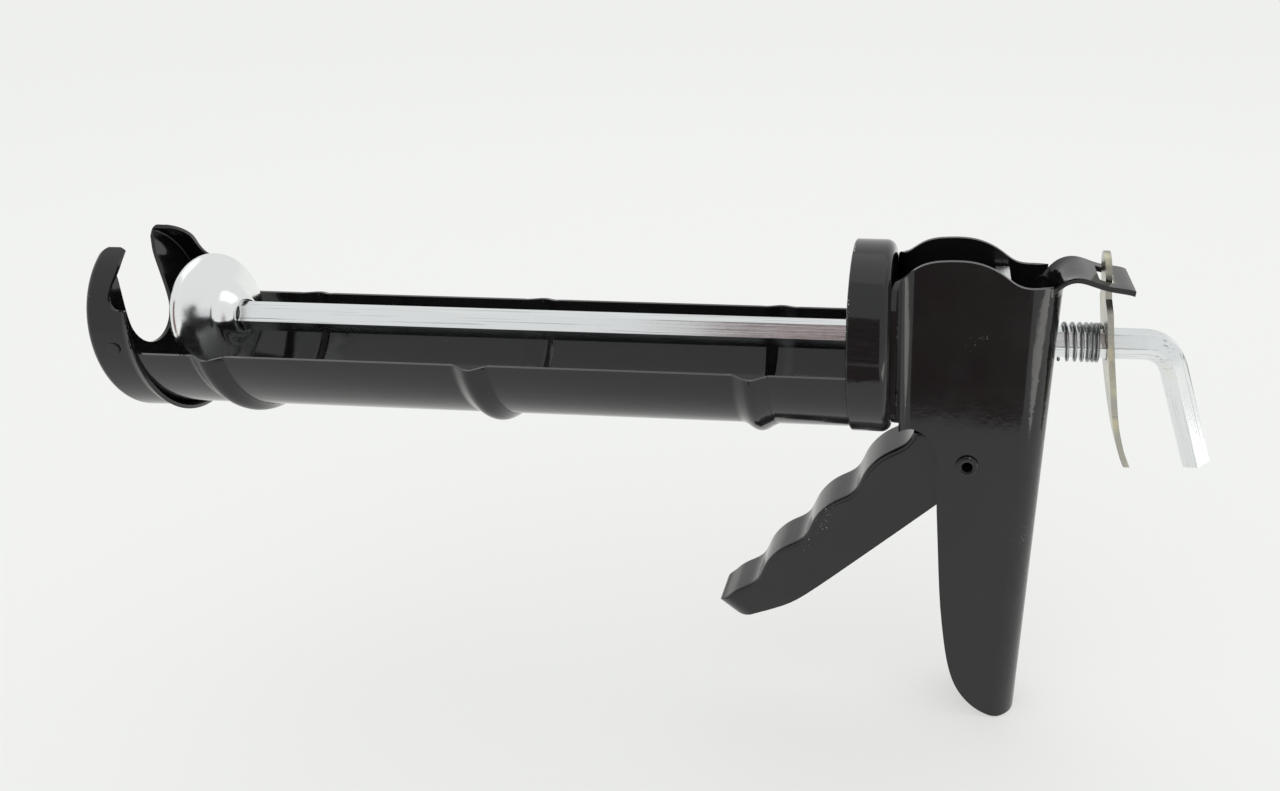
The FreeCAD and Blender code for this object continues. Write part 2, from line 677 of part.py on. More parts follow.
def hexagon(centre, u, v):
    """Hexagon with flats square to v."""
    corner_r = ROD_FLATS / math.sqrt(3)
    points = []
    for i in range(6):
        a = math.radians(60 * i)
        points.append(centre + u * (corner_r * math.cos(a)) + v * (corner_r * math.sin(a)))
    points.append(points[0])
    return Part.Face(Part.makePolygon(points))


def push_rod():
    """Hexagon bar bent down at the rear into a pull hook, swept flat side first."""
    bend = 90.0 - ROD_HOOK_LEAN_DEG
    up = V(0, 0, 1)
    straight = hexagon(V(ROD_FRONT_X, 0, 0), Y_DIR, up).extrude(V(ROD_BEND_X - ROD_FRONT_X, 0, 0))
    centre = V(ROD_BEND_X, 0, -ROD_BEND_R)
    elbow = hexagon(V(ROD_BEND_X, 0, 0), Y_DIR, up).revolve(centre, Y_DIR, bend)
    a = math.radians(bend)
    run = V(math.cos(a), 0, -math.sin(a))
    normal = V(math.sin(a), 0, math.cos(a))
    start = centre + normal * ROD_BEND_R
    reach = (start.z - ROD_HOOK_END_Z) / math.sin(a)
    leg = hexagon(start, Y_DIR, normal).extrude(run * reach)
    rod = straight.fuse([elbow, leg]).removeSplitter()
    return rod.cut(rod_bar(PISTON_SCREW_R + 0.02, ROD_FRONT_X - 1, ROD_FRONT_X + 14))


def piston_disc():
    """Pressed dish: a short skirt faces the cartridge and a cone neck closes on the rod."""
    t = PISTON_SHEET
    r = PISTON_R
    x = PISTON_RIM_X
    edges = [
        line((x, 0, r - t), (x, 0, r)),
        spline([(x, 0, r), (x + 1.6, 0, r - 0.2), (x + 2.9, 0, r - 2.0), (x + 4.4, 0, 14.0),
                (x + 5.6, 0, 10.2)]),
        spline([(x + 5.6, 0, 10.2), (x + 6.9, 0, 8.4), (x + 9.4, 0, 6.6), (PISTON_NECK_X, 0, 5.7)]),
        line((PISTON_NECK_X, 0, 5.7), (PISTON_NECK_X, 0, PISTON_NECK_R)),
        spline([(PISTON_NECK_X, 0, PISTON_NECK_R), (x + 8.9, 0, 5.4), (x + 6.0, 0, 7.4),
                (x + 4.7, 0, 9.3)]),
        spline([(x + 4.7, 0, 9.3), (x + 3.2, 0, 13.6), (x + 1.9, 0, r - 2.9), (x + 0.9, 0, r - t - 0.15),
                (x, 0, r - t)]),
    ]
    return turned(edges)


def piston_washer():
    """Washer clamped between the screw's head and the end of the rod."""
    ring = rod_bar(9.0, ROD_FRONT_X - 1.6, ROD_FRONT_X - 0.05)
    return ring.cut(rod_bar(PISTON_SCREW_R + 0.1, ROD_FRONT_X - 3, ROD_FRONT_X + 1))


def piston_screw():
    """Cross-slotted round-head screw driven into the end of the rod."""
    head_x = ROD_FRONT_X - 1.65
    head = rod_bar(4.0, head_x - 2.4, head_x)
    head = rounded(head, 1.6, lambda e: abs(e.CenterOfMass.x - head_x + 2.4) < 0.01)
    screw = head.fuse(rod_bar(PISTON_SCREW_R, head_x, ROD_FRONT_X + 12)).removeSplitter()
    for along in (0, 1):
        size = (4.6, 1.0) if along else (1.0, 4.6)
        slot = Part.makeBox(1.5, size[0], size[1], V(head_x - 2.6, -size[0] / 2, -size[1] / 2))
        screw = screw.cut(slot)
    return screw


# ---- grip plates, release lever and springs -----------------------------------------------------

def grip_plate(rear_x):
    """Plate with an easy hole for the rod; its lower half is narrow, to pass between the trigger's arms."""
    w = GRIP_PLATE_HALF_WIDTH
    n = GRIP_PLATE_NARROW_HALF
    top = GRIP_PLATE_TOP_Z
    low = GRIP_PLATE_BOTTOM_Z
    mid = GRIP_PLATE_SHOULDER_Z
    x = rear_x - GRIP_PLATE
    corners = [(-n, low), (n, low), (n, mid), (w, mid + 1.8), (w, top),
               (-w, top), (-w, mid + 1.8), (-n, mid)]
    points = [V(x, y, z) for y, z in corners]
    plate = Part.Face(Part.makePolygon(points + [points[0]])).extrude(V(GRIP_PLATE, 0, 0))

    def at_end_corner(edge):
        across = abs(edge.Vertexes[0].X - edge.Vertexes[-1].X) > 0.1
        return across and min(abs(edge.CenterOfMass.z - top), abs(edge.CenterOfMass.z - low)) < 0.01

    plate = rounded(plate, 2.0, at_end_corner)
    return plate.cut(rod_bar(GRIP_HOLE_R, x - 1, rear_x + 1))


def coil(wire_r, coil_r, spacing_points, start_angle=90.0):
    """Round-wire spring about the rod axis.  spacing_points lists (turns, x) along the wire."""
    points = []
    per_turn = 12
    for (t0, x0), (t1, x1) in zip(spacing_points, spacing_points[1:]):
        count = max(1, int(round((t1 - t0) * per_turn)))
        for i in range(count):
            f = i / count
            points.append((t0 + (t1 - t0) * f, x0 + (x1 - x0) * f))
    points.append(spacing_points[-1])
    path = []
    for turns, x in points:
        a = math.radians(start_angle) + 2 * math.pi * turns
        path.append(V(x, coil_r * math.cos(a), coil_r * math.sin(a)))
    curve = Part.BSplineCurve()
    curve.interpolate(path)
    spine = Part.Wire(curve.toShape())
    tangent = curve.tangent(curve.FirstParameter)[0]
    ring = Part.Wire(Part.makeCircle(wire_r, path[0], tangent))
    return spine.makePipeShell([ring], True, True)


def drive_spring():
    """Spring that pushes the grip plates back; both ends are wound close."""
    x0 = HANDLE_SHEET + 1.2 + DRIVE_WIRE_R
    x1 = GRIP_PLATE_REAR_X - 2 * GRIP_PLATE - GRIP_PLATE_GAP - DRIVE_WIRE_R - 0.3
    close = 2 * DRIVE_WIRE_R + 0.1
    turns = DRIVE_TURNS
    marks = [(0, x0), (0.9, x0 + close * 0.9), (turns - 0.9, x1 - close * 0.9), (turns, x1)]
    return coil(DRIVE_WIRE_R, DRIVE_COIL_R, marks)


def drive_spring_seat():
    """Washer between the drive spring and the rear cup."""
    ring = rod_bar(9.6, 0.1, 1.1)
    return ring.cut(rod_bar(REAR_HOLE_R, -1, 3))


def release_spring():
    """Spring between the spine and the lever; its turns lie closer together at the lever."""
    x0 = RELEASE_START_X
    x1 = RELEASE_END_X - RELEASE_WIRE_R
    marks = [(0, x0), (3.0, x0 + 7.3), (4.4, x0 + 9.6), (5.5, x1)]
    return coil(RELEASE_WIRE_R, RELEASE_COIL_R, marks, 200.0)


def lever_front_edge():
    """Front face of the lever seen from the side; it leans back and its tail curls rearward."""
    return [(58.9, 28.0), (59.4, 22.0), (60.2, 14.0), (61.7, 2.0), (62.7, -5.0), (64.4, -15.0),
            (66.2, -24.0), (68.3, -32.0), (70.0, -37.0), (72.0, -41.5)]


def lever_width_outline():
    """Lever seen from the front: neck in the tongue's slot, shoulders, body and tapering tail."""
    x = 50.0
    left = [(5.0, 23.5), (5.0, 15.5), (8.5, 12.0), (8.5, -10.0), (4.2, -27.0), (3.4, -38.5)]
    top = Part.Arc(V(x, -5.0, 23.5), V(x, 0, 28.0), V(x, 5.0, 23.5)).toShape()
    edges = [top]
    for a, b in zip(left, left[1:]):
        edges.append(line((x, a[0], a[1]), (x, b[0], b[1])))
    edges.append(Part.Arc(V(x, 3.4, -38.5), V(x, 0, -41.5), V(x, -3.4, -38.5)).toShape())
    mirrored = [(-y, z) for y, z in reversed(left)]
    for a, b in zip(mirrored, mirrored[1:]):
        edges.append(line((x, a[0], a[1]), (x, b[0], b[1])))
    return edges


def release_lever():
    front = lever_front_edge()
    rear = [(x + LEVER_SHEET, z + 0.25) for x, z in front]
    edges = path_xz(front, [front[-1], rear[-1]], rear[::-1], [rear[0], front[0]])
    strip = side_prism(edges, 12)
    body = strip.common(solid_of(lever_width_outline(), V(40, 0, 0)))
    lean = V(1, 0, math.tan(math.radians(7.5)))
    hole = Part.makeCylinder(LEVER_HOLE_R, 12, V(57.0, 0, -0.7), lean)
    return body.cut(hole)


def main():
    os.makedirs("parts", exist_ok=True)
    save("barrel_trough", barrel_trough())
    save("front_cup", front_cup())
    save("cup_rivets", cup_rivets())
    save("rear_cup", rear_cup())
    save("flange_rivets", flange_rivets())
    save("handle_frame", handle_frame())
    save("pivot_rivet", pivot_rivet())
    save("pivot_spacer", pivot_spacer())
    save("trigger", trigger())
    save("trigger_push_pin", trigger_push_pin())
    save("grip_plate_front", grip_plate(GRIP_PLATE_REAR_X - GRIP_PLATE - GRIP_PLATE_GAP))
    save("grip_plate_rear", grip_plate(GRIP_PLATE_REAR_X))
    save("drive_spring", drive_spring())
    save("drive_spring_seat", drive_spring_seat())
    save("push_rod", push_rod())
    save("piston_disc", piston_disc())
    save("piston_washer", piston_washer())
    save("piston_screw", piston_screw())
    save("release_lever", release_lever())
    save("release_spring", release_spring())


main()
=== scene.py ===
# %% [markdown]
# # A half-round caulking gun
# The gun has a pressed steel cradle for the cartridge, a cup at each end of it, a channel-shaped
# handle with a wavy trigger, and a hexagon rod that pushes a dished piston along the cradle.
# All the shapes that have to fit together come from the CAD model, so this script first loads
# that model as a fixed frame. Blender then gives it rounded edges, newly wound springs,
# and the finishes: gloss black enamel and several kinds of zinc plate.

import math

import bpy
from mathutils import Matrix, Vector


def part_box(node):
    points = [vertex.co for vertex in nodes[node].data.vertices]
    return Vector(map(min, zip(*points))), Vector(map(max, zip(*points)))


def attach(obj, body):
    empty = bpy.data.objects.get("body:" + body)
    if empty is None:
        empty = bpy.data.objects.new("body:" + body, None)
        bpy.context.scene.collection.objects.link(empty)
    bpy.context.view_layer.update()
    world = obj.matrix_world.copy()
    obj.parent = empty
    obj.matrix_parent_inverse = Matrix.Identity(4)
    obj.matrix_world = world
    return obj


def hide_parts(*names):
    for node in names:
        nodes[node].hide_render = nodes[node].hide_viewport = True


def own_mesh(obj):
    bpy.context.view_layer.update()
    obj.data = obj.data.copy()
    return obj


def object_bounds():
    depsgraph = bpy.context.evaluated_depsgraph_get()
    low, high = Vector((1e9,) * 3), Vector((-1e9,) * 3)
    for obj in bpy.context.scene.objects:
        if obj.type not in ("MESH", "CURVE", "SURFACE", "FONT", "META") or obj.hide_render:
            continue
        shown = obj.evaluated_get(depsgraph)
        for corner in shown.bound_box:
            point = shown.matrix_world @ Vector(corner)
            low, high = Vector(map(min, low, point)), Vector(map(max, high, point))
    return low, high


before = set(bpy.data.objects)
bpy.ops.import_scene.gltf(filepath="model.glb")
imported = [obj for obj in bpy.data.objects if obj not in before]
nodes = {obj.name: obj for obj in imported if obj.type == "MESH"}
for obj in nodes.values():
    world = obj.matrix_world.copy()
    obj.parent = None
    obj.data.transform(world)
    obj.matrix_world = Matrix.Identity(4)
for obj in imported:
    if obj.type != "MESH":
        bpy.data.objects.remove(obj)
cad_low, cad_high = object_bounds()
size_mm = [round(1000 * s, 1) for s in cad_high - cad_low]
print("CAD nodes:", len(nodes), "size in mm:", size_mm)

# %% [markdown]
# ## The camera
# The camera comes first, because every later choice is judged through it. It stands close to the
# near side of the gun, a little above it, and looks slightly towards the nozzle end. Its frame is
# part of a wider view, which the lens shift gives without turning the camera.

# %% Camera
YAW = math.radians(5.39)
PITCH = math.radians(26.25)
ROLL = math.radians(-0.26)
CAMERA_PLACE = (0.0155, -0.2693, 0.1131)
LENS_MM = 27.34
SENSOR_MM = 36.0
SIDE_SHIFT = -0.1734
camera_data = bpy.data.cameras.new("camera")
camera = bpy.data.objects.new("camera", camera_data)
bpy.context.scene.collection.objects.link(camera)
turn = Matrix.Rotation(YAW, 4, "Z") @ Matrix.Rotation(math.pi / 2 - PITCH, 4, "X")
camera.matrix_world = Matrix.Translation(CAMERA_PLACE) @ turn @ Matrix.Rotation(ROLL, 4, "Z")
camera_data.sensor_width = SENSOR_MM
camera_data.lens = LENS_MM
camera_data.shift_x = SIDE_SHIFT
camera_data.clip_start = 0.01
camera_data.dof.use_dof = False
bpy.context.scene.camera = camera
print("camera at", [round(v, 4) for v in camera.location])

# %% [markdown]
# ## The floor
# A product table is a pale sheet that runs far back behind the gun. The plane is made partly
# self-lit: the shadow under the gun then stays faint and the sheet keeps one even tone.


# %% Helper for materials
def new_material(name):
    """An empty node material with an output and a principled shader, joined."""
    material = bpy.data.materials.new(name)
    material.use_nodes = True
    tree = material.node_tree
    tree.nodes.clear()
    output = tree.nodes.new("ShaderNodeOutputMaterial")
    shader = tree.nodes.new("ShaderNodeBsdfPrincipled")
    tree.links.new(shader.outputs["BSDF"], output.inputs["Surface"])
    return material, tree, shader


# %% Floor
FLOOR_COLOUR = (0.455, 0.458, 0.448)
FLOOR_SIZE = 16.0
FLOOR_GLOW = 1.10
SHEET_GAP = 0.0006  # keeps two flat sheets at one height from flickering into each other
bpy.ops.object.select_all(action="DESELECT")
bpy.ops.mesh.primitive_plane_add(size=FLOOR_SIZE, location=(0.0, 0.0, cad_low.z - SHEET_GAP))
floor = bpy.context.active_object
floor.name = "floor"
floor_material, _, floor_shader = new_material("pale_sheet")
floor_shader.inputs["Base Color"].default_value = (*FLOOR_COLOUR, 1.0)
floor_shader.inputs["Roughness"].default_value = 0.9
floor_shader.inputs["Specular IOR Level"].default_value = 0.0
floor_shader.inputs["Emission Color"].default_value = (*FLOOR_COLOUR, 1.0)
floor_shader.inputs["Emission Strength"].default_value = FLOOR_GLOW
floor.data.materials.append(floor_material)

# %% [markdown]
# ## The light
# Gloss black paint shows nothing but what it mirrors, so the room matters more than the lamps.
# A pale sky gives the even grey of the paint, and a large soft lamp overhead gives the metal its
# shine. Lamps alone would leave the upright faces flat, so sheets of card are stood round the gun
# next, as in a studio.

# %% Sky
SKY_COLOUR = (0.985, 1.0, 0.99, 1.0)
SKY_STRENGTH = 0.80
world = bpy.data.worlds.new("pale_room")
bpy.context.scene.world = world
world.use_nodes = True
sky = world.node_tree.nodes["Background"]
sky.inputs["Color"].default_value = SKY_COLOUR
sky.inputs["Strength"].default_value = SKY_STRENGTH
bpy.context.scene.view_settings.view_transform = "Standard"


# %% Soft lamp
def soft_lamp(name, place, aim, width, height, watts):
    """A rectangular lamp that points from its place to its aim."""
    lamp = bpy.data.lights.new(name, "AREA")
    lamp.shape = "RECTANGLE"
    lamp.size = width
    lamp.size_y = height
    lamp.energy = watts
    holder = bpy.data.objects.new(name, lamp)
    bpy.context.scene.collection.objects.link(holder)
    holder.location = place
    holder.rotation_euler = (Vector(aim) - Vector(place)).to_track_quat("-Z", "Y").to_euler()


soft_lamp("top_lamp", (-0.05, 0.35, 1.1), (-0.08, 0.0, 0.0), 1.6, 1.0, 1.6)


# %% [markdown]
# ### Cards
# A card is a plain sheet that shows only in reflections: the camera, shadows and diffuse light
# pass through it. Two dim cards behind the camera darken the upright faces. They are mottled, and
# torn all round by a noise, so that their mirrored edge on the paint is ragged and not ruled. A
# bright card low on the right draws the light line on the flange bends and the handle's back edge.

# %% Helper for math nodes
def add_math(tree, operation, first, second=None):
    """A math node; first and second are sockets or numbers."""
    node = tree.nodes.new("ShaderNodeMath")
    node.operation = operation
    for socket, value in zip(node.inputs, (first, second)):
        if isinstance(value, (int, float)):
            socket.default_value = value
        elif value is not None:
            tree.links.new(value, socket)
    return node.outputs[0]


# %% Card builder
def card_sheet(name, material, width, height, place, tilt):
    """A flat sheet that shows only in reflections."""
    bpy.ops.object.select_all(action="DESELECT")
    bpy.ops.mesh.primitive_plane_add(size=1.0, location=place, rotation=(tilt, 0.0, 0.0))
    sheet = bpy.context.active_object
    sheet.name = name
    sheet.scale = (width, height, 1.0)
    sheet.visible_camera = False
    sheet.visible_diffuse = False
    sheet.visible_shadow = False
    sheet.visible_transmission = False
    sheet.data.materials.append(material)


def glowing_card(name):
    """A material that is black but for its own glow."""
    material, tree, shader = new_material(name)
    shader.inputs["Base Color"].default_value = (0.0, 0.0, 0.0, 1.0)
    shader.inputs["Specular IOR Level"].default_value = 0.0
    return material, tree, shader


# %% Dim mottled cards behind the camera
CARD_TONES = ((0.36, (0.50, 0.48, 0.48)), (0.45, (0.22, 0.21, 0.21)),
              (0.53, (0.19, 0.055, 0.055)), (0.62, (0.13, 0.12, 0.13)))
card_material, card_tree, card_shader = glowing_card("dim_card")
card_place = card_tree.nodes.new("ShaderNodeTexCoord")
card_noise = card_tree.nodes.new("ShaderNodeTexNoise")
card_noise.inputs["Scale"].default_value = 21.0
card_noise.inputs["Detail"].default_value = 7.0
card_noise.inputs["Roughness"].default_value = 0.65
card_tree.links.new(card_place.outputs["Object"], card_noise.inputs["Vector"])
card_ramp = card_tree.nodes.new("ShaderNodeValToRGB")
for _ in range(len(CARD_TONES) - 2):
    card_ramp.color_ramp.elements.new(0.5)
for element, (position, tone) in zip(card_ramp.color_ramp.elements, CARD_TONES):
    element.position = position
    element.color = (*tone, 1.0)
card_tree.links.new(card_noise.outputs["Fac"], card_ramp.inputs["Fac"])
card_tree.links.new(card_ramp.outputs["Color"], card_shader.inputs["Emission Color"])
card_shader.inputs["Emission Strength"].default_value = 1.0

# %% Torn edge of the dim cards
TEAR_DEPTH = 0.34
TEAR_LINE = 0.46  # where the tear runs, from the middle of a sheet that is 1 wide
tear_split = card_tree.nodes.new("ShaderNodeSeparateXYZ")
card_tree.links.new(card_place.outputs["Object"], tear_split.inputs["Vector"])
tear_x = add_math(card_tree, "ABSOLUTE", tear_split.outputs["X"])
tear_y = add_math(card_tree, "ABSOLUTE", tear_split.outputs["Y"])
tear_reach = add_math(card_tree, "MAXIMUM", tear_x, tear_y)
tear_middle = add_math(card_tree, "SUBTRACT", card_noise.outputs["Fac"], 0.5)
tear_noise = add_math(card_tree, "MULTIPLY", tear_middle, TEAR_DEPTH)
tear_edge = add_math(card_tree, "ADD", add_math(card_tree, "SUBTRACT", TEAR_LINE, tear_reach), tear_noise)
card_tree.links.new(add_math(card_tree, "GREATER_THAN", tear_edge, 0.0), card_shader.inputs["Alpha"])

# %% Stand the dim cards
LOW_CARD_Z = cad_low.z + SHEET_GAP
HIGH_CARD_Z = cad_low.z + 0.36
card_sheet("low_card", card_material, 0.28, 0.42, (-0.035, -0.43, LOW_CARD_Z), 0.0)
card_sheet("high_card", card_material, 0.44, 0.74, (-0.055, -0.64, HIGH_CARD_Z), math.pi / 2)

# %% Bright window low on the right
window_material, _, window_shader = glowing_card("bright_window")
window_shader.inputs["Emission Color"].default_value = (1.0, 0.985, 0.95, 1.0)
window_shader.inputs["Emission Strength"].default_value = 3.2
card_sheet("window_card", window_material, 0.30, 0.16, (0.34, -0.22, LOW_CARD_Z), 0.0)
print("stage ready")

# %% [markdown]
# ## Shared effects
# Each effect that several finishes use is a node group. It takes the point on the object in
# metres, so that its grain keeps its real size on every part, and gives back a height or a mask.


# %% Helper for node groups
def new_group(name, inputs, outputs):
    """A shader node group; inputs and outputs are lists of (name, kind, default)."""
    tree = bpy.data.node_groups.new(name, "ShaderNodeTree")
    for label, kind, default in inputs:
        socket = tree.interface.new_socket(name=label, in_out="INPUT", socket_type=kind)
        if default is not None:
            socket.default_value = default
    for label, kind in outputs:
        tree.interface.new_socket(name=label, in_out="OUTPUT", socket_type=kind)
    start = tree.nodes.new("NodeGroupInput")
    end = tree.nodes.new("NodeGroupOutput")
    return tree, start, end


def add_noise(tree, vector, scale, detail=2.0, roughness=0.5):
    """A noise texture; scale is in grains per metre."""
    node = tree.nodes.new("ShaderNodeTexNoise")
    node.inputs["Detail"].default_value = detail
    node.inputs["Roughness"].default_value = roughness
    tree.links.new(vector, node.inputs["Vector"])
    node.inputs["Scale"].default_value = scale
    return node.outputs["Fac"]


def add_range(tree, value, low, high):
    """0 where value is low, 1 where it is high, smooth in between."""
    node = tree.nodes.new("ShaderNodeMapRange")
    node.interpolation_type = "SMOOTHSTEP"
    tree.links.new(value, node.inputs["Value"])
    for label, limit in (("From Min", low), ("From Max", high)):
        if isinstance(limit, (int, float)):
            node.inputs[label].default_value = limit
        else:
            tree.links.new(limit, node.inputs[label])
    return node.outputs["Result"]


def add_mix(tree, mask, first, second):
    """A colour mix; first and second are sockets or colours."""
    node = tree.nodes.new("ShaderNodeMix")
    node.data_type = "RGBA"
    tree.links.new(mask, node.inputs[0])
    for slot_index, value in ((6, first), (7, second)):
        if isinstance(value, tuple):
            node.inputs[slot_index].default_value = (*value, 1.0)
        else:
            tree.links.new(value, node.inputs[slot_index])
    return node.outputs[2]


def add_stretch(tree, vector, stretch):
    """The vector scaled along its axes."""
    node = tree.nodes.new("ShaderNodeVectorMath")
    node.operation = "MULTIPLY"
    tree.links.new(vector, node.inputs[0])
    node.inputs[1].default_value = stretch
    return node.outputs[0]


# %% [markdown]
# ### Orange peel
# Stove enamel is dipped or sprayed and flows out before it sets. It keeps a faint wave of a few
# millimetres, on which reflections wobble, and a finer ripple. Two noises of those sizes added
# together give it.

# %% Orange peel group
peel_group, peel_in, peel_out = new_group(
    "orange_peel", [("Vector", "NodeSocketVector", None)], [("Height", "NodeSocketFloat")])
peel_wave = add_noise(peel_group, peel_in.outputs["Vector"], 95.0, 1.0)
peel_ripple = add_noise(peel_group, peel_in.outputs["Vector"], 620.0, 2.0)
peel_sum = add_math(peel_group, "ADD", peel_wave, add_math(peel_group, "MULTIPLY", peel_ripple, 0.22))
peel_group.links.new(peel_sum, peel_out.inputs["Height"])

# %% [markdown]
# ### Handling marks
# A tool that is picked up has dull smears from fingers and a few hair-fine scratches. The smears
# are a broad noise, and the scratches are a noise stretched about forty times along the part.

# %% Handling marks group
marks_group, marks_in, marks_out = new_group(
    "handling_marks",
    [("Vector", "NodeSocketVector", None), ("Amount", "NodeSocketFloat", 0.5)],
    [("Smears", "NodeSocketFloat"), ("Scratches", "NodeSocketFloat")])
smear_noise = add_noise(marks_group, marks_in.outputs["Vector"], 34.0, 4.0, 0.6)
smear = add_range(marks_group, smear_noise, 0.42, 0.75)
hair_vector = add_stretch(marks_group, marks_in.outputs["Vector"], (30.0, 900.0, 1300.0))
hair = add_range(marks_group, add_noise(marks_group, hair_vector, 1.0, 3.0, 0.7), 0.63, 0.70)
marks_group.links.new(
    add_math(marks_group, "MULTIPLY", smear, marks_in.outputs["Amount"]), marks_out.inputs["Smears"])
marks_group.links.new(
    add_math(marks_group, "MULTIPLY", hair, marks_in.outputs["Amount"]), marks_out.inputs["Scratches"])

# %% [markdown]
# ### Chips
# Paint leaves a sharp edge first. The mask is made of small irregular spots: a fine noise cut
# hard, inside a coarser noise that gathers the spots in groups.

# %% Chips group
chips_group, chips_in, chips_out = new_group(
    "chips",
    [("Vector", "NodeSocketVector", None), ("Cover", "NodeSocketFloat", 0.3)],
    [("Mask", "NodeSocketFloat")])
chip_cut = add_math(chips_group, "SUBTRACT", 0.80, add_math(
    chips_group, "MULTIPLY", chips_in.outputs["Cover"], 0.4))
chip_fine = add_noise(chips_group, chips_in.outputs["Vector"], 1500.0, 3.0, 0.6)
chip_area = add_noise(chips_group, chips_in.outputs["Vector"], 55.0, 2.0)
chip_both = add_math(chips_group, "ADD", add_math(chips_group, "MULTIPLY", chip_fine, 0.55),
                     add_math(chips_group, "MULTIPLY", chip_area, 0.62))
chip_mask = add_range(chips_group, chip_both, chip_cut, add_math(chips_group, "ADD", chip_cut, 0.02))
chips_group.links.new(chip_mask, chips_out.inputs["Mask"])

# %% [markdown]
# ### Zinc bloom
# Zinc plate is passivated, which leaves a thin film that shifts from cool blue-white to straw
# yellow where it is thicker. A slow noise moves between the two colours.

# %% Zinc bloom group
bloom_group, bloom_in, bloom_out = new_group(
    "zinc_bloom",
    [("Vector", "NodeSocketVector", None), ("Cool", "NodeSocketColor", (0.7, 0.72, 0.75, 1.0)),
     ("Straw", "NodeSocketColor", (0.75, 0.72, 0.6, 1.0)), ("Straw Share", "NodeSocketFloat", 0.3)],
    [("Color", "NodeSocketColor"), ("Mottle", "NodeSocketFloat")])
bloom_noise = add_noise(bloom_group, bloom_in.outputs["Vector"], 70.0, 4.0, 0.6)
bloom_cut = add_math(bloom_group, "SUBTRACT", 0.78, add_math(
    bloom_group, "MULTIPLY", bloom_in.outputs["Straw Share"], 0.6))
bloom_mask = add_range(bloom_group, bloom_noise, bloom_cut, add_math(bloom_group, "ADD", bloom_cut, 0.25))
bloom_group.links.new(
    add_mix(bloom_group, bloom_mask, bloom_in.outputs["Cool"], bloom_in.outputs["Straw"]),
    bloom_out.inputs["Color"])
bloom_group.links.new(
    add_noise(bloom_group, bloom_in.outputs["Vector"], 900.0, 2.0), bloom_out.inputs["Mottle"])

# %% [markdown]
# ### Drawn lines
# Bar and wire are pulled through a die, which leaves fine straight lines along them. A noise
# stretched along X gives the lines on everything that lies along the rod, and past the bend a
# second one, turned with the hook, takes over and runs down its leg. The lines are a real bump,
# but the zinc finishes also use them to paint grey reflection streaks into the colour.

# %% Drawn lines group
drawn_group, drawn_in, drawn_out = new_group(
    "drawn_lines", [("Vector", "NodeSocketVector", None)], [("Height", "NodeSocketFloat")])
HOOK_LEAN = math.radians(19.0)
HOOK_START_X = 0.080
HOOK_FADE = 0.004
ALONG = 16.0
ACROSS = 1700.0
drawn_along = add_noise(drawn_group, add_stretch(
    drawn_group, drawn_in.outputs["Vector"], (ALONG, ACROSS, ACROSS)), 1.0, 3.0, 0.6)
leg_turn = drawn_group.nodes.new("ShaderNodeVectorRotate")
leg_turn.rotation_type = "Y_AXIS"
leg_turn.inputs["Angle"].default_value = HOOK_LEAN
drawn_group.links.new(drawn_in.outputs["Vector"], leg_turn.inputs["Vector"])
drawn_down = add_noise(drawn_group, add_stretch(
    drawn_group, leg_turn.outputs["Vector"], (ACROSS, ACROSS, ALONG)), 1.0, 3.0, 0.6)
leg_split = drawn_group.nodes.new("ShaderNodeSeparateXYZ")
drawn_group.links.new(drawn_in.outputs["Vector"], leg_split.inputs["Vector"])
leg_mask = add_range(drawn_group, leg_split.outputs["X"], HOOK_START_X, HOOK_START_X + HOOK_FADE)
leg_part = add_math(drawn_group, "MULTIPLY", leg_mask, add_math(
    drawn_group, "SUBTRACT", drawn_down, drawn_along))
drawn_group.links.new(add_math(drawn_group, "ADD", drawn_along, leg_part), drawn_out.inputs["Height"])
print("node groups:", sorted(g.name for g in bpy.data.node_groups))


# %% [markdown]
# ## Finishes
# A small helper places a group in a material and joins the object's own coordinates to it.

# %% Helpers that place a group
def own_place(tree):
    """Object coordinates: the point on the piece, in metres."""
    return tree.nodes.new("ShaderNodeTexCoord").outputs["Object"]


def add_group(tree, group, vector, **values):
    """A node group on a vector, with its other inputs set by name."""
    node = tree.nodes.new("ShaderNodeGroup")
    node.node_tree = group
    tree.links.new(vector, node.inputs["Vector"])
    for label, value in values.items():
        node.inputs[label.replace("_", " ")].default_value = value
    return node


def add_bump(tree, shader, height, depth_m):
    """Turns a height into the shader's normal; depth is in metres."""
    node = tree.nodes.new("ShaderNodeBump")
    node.inputs["Distance"].default_value = depth_m
    node.inputs["Strength"].default_value = 1.0
    tree.links.new(height, node.inputs["Height"])
    tree.links.new(node.outputs["Normal"], shader.inputs["Normal"])


# %% [markdown]
# ### Black enamel
# A thick gloss black over steel. Its colour is nearly black, its shine that of a clear varnish,
# and its roughness rises a little in the smears. On edges a second version of the same paint
# lets small spots of bright steel through.

# %% Black enamel
BLACK = (0.0075, 0.0075, 0.0080)
DUSTY_BLACK = (0.013, 0.0128, 0.0125)
BARE_STEEL = (0.62, 0.61, 0.58)
SMEAR_DULLS = 0.10
SCRATCH_DULLS = 0.10
CHIP_DULLS = 0.2
PEEL_DEPTH = 0.00007


